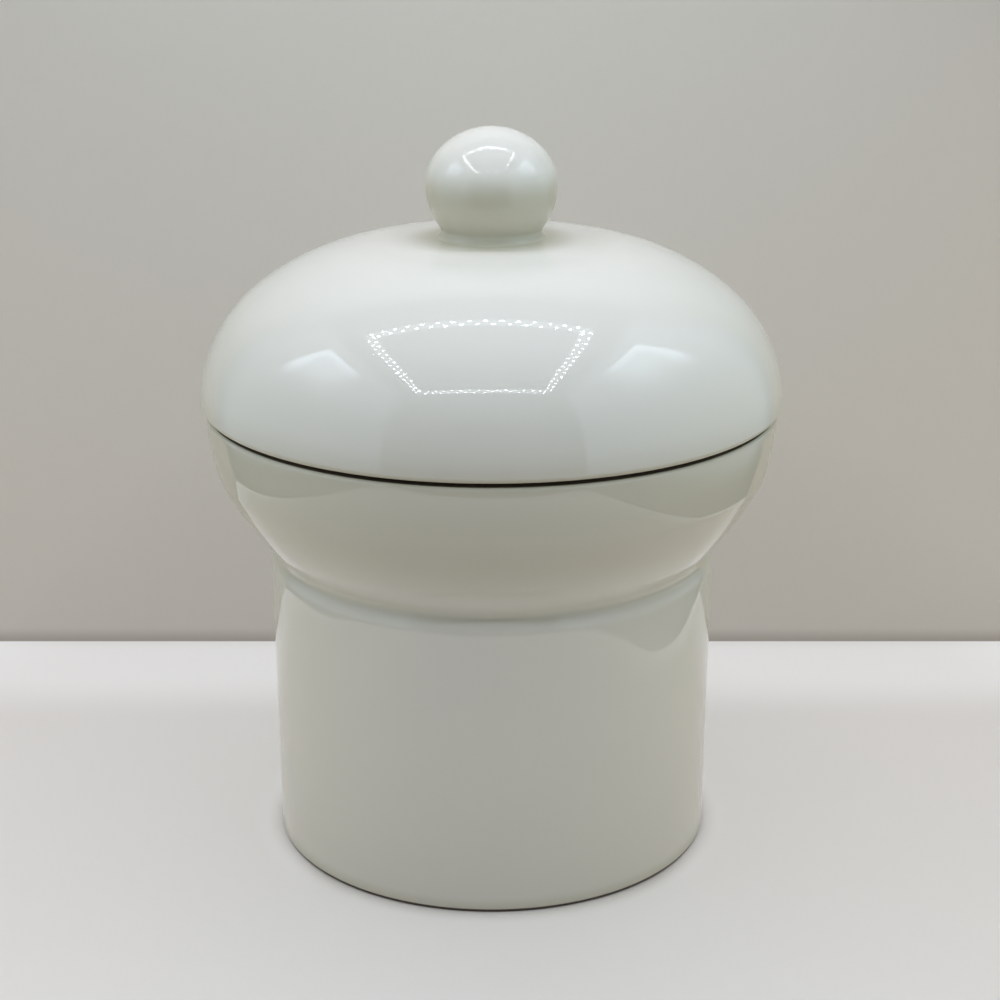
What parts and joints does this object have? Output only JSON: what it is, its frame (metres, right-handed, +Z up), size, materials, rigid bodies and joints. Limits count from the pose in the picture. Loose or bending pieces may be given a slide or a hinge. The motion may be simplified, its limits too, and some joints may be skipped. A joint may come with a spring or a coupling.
{
  "type": "garlic keeper",
  "caption": "Glazed stoneware garlic keeper: a round jar with a creased neck and a flared bowl, closed by a loose domed lid with a ball knob.",
  "frame": {"origin": "centre of the foot ring, on the surface that the jar stands on", "axes": "+Z up along the axis that the jar, the lid and the knob share; X and Y are alike, because the form is round"},
  "size_m": [0.1395, 0.1396, 0.1753],
  "materials": {
    "glaze": "glossy ivory glaze over pale stoneware; bare clay on the foot ring and on the lid's seat"
  },
  "bodies": {
    "jar": {"jar": "glaze"},
    "lid": {"lid": "glaze", "knob": "glaze"}
  },
  "joints": [
    {"name": "lid_lift", "type": "slide", "parent": "jar", "child": "lid", "axis": [0, 0, 1], "range_m": [0, 0.1]}
  ]
}
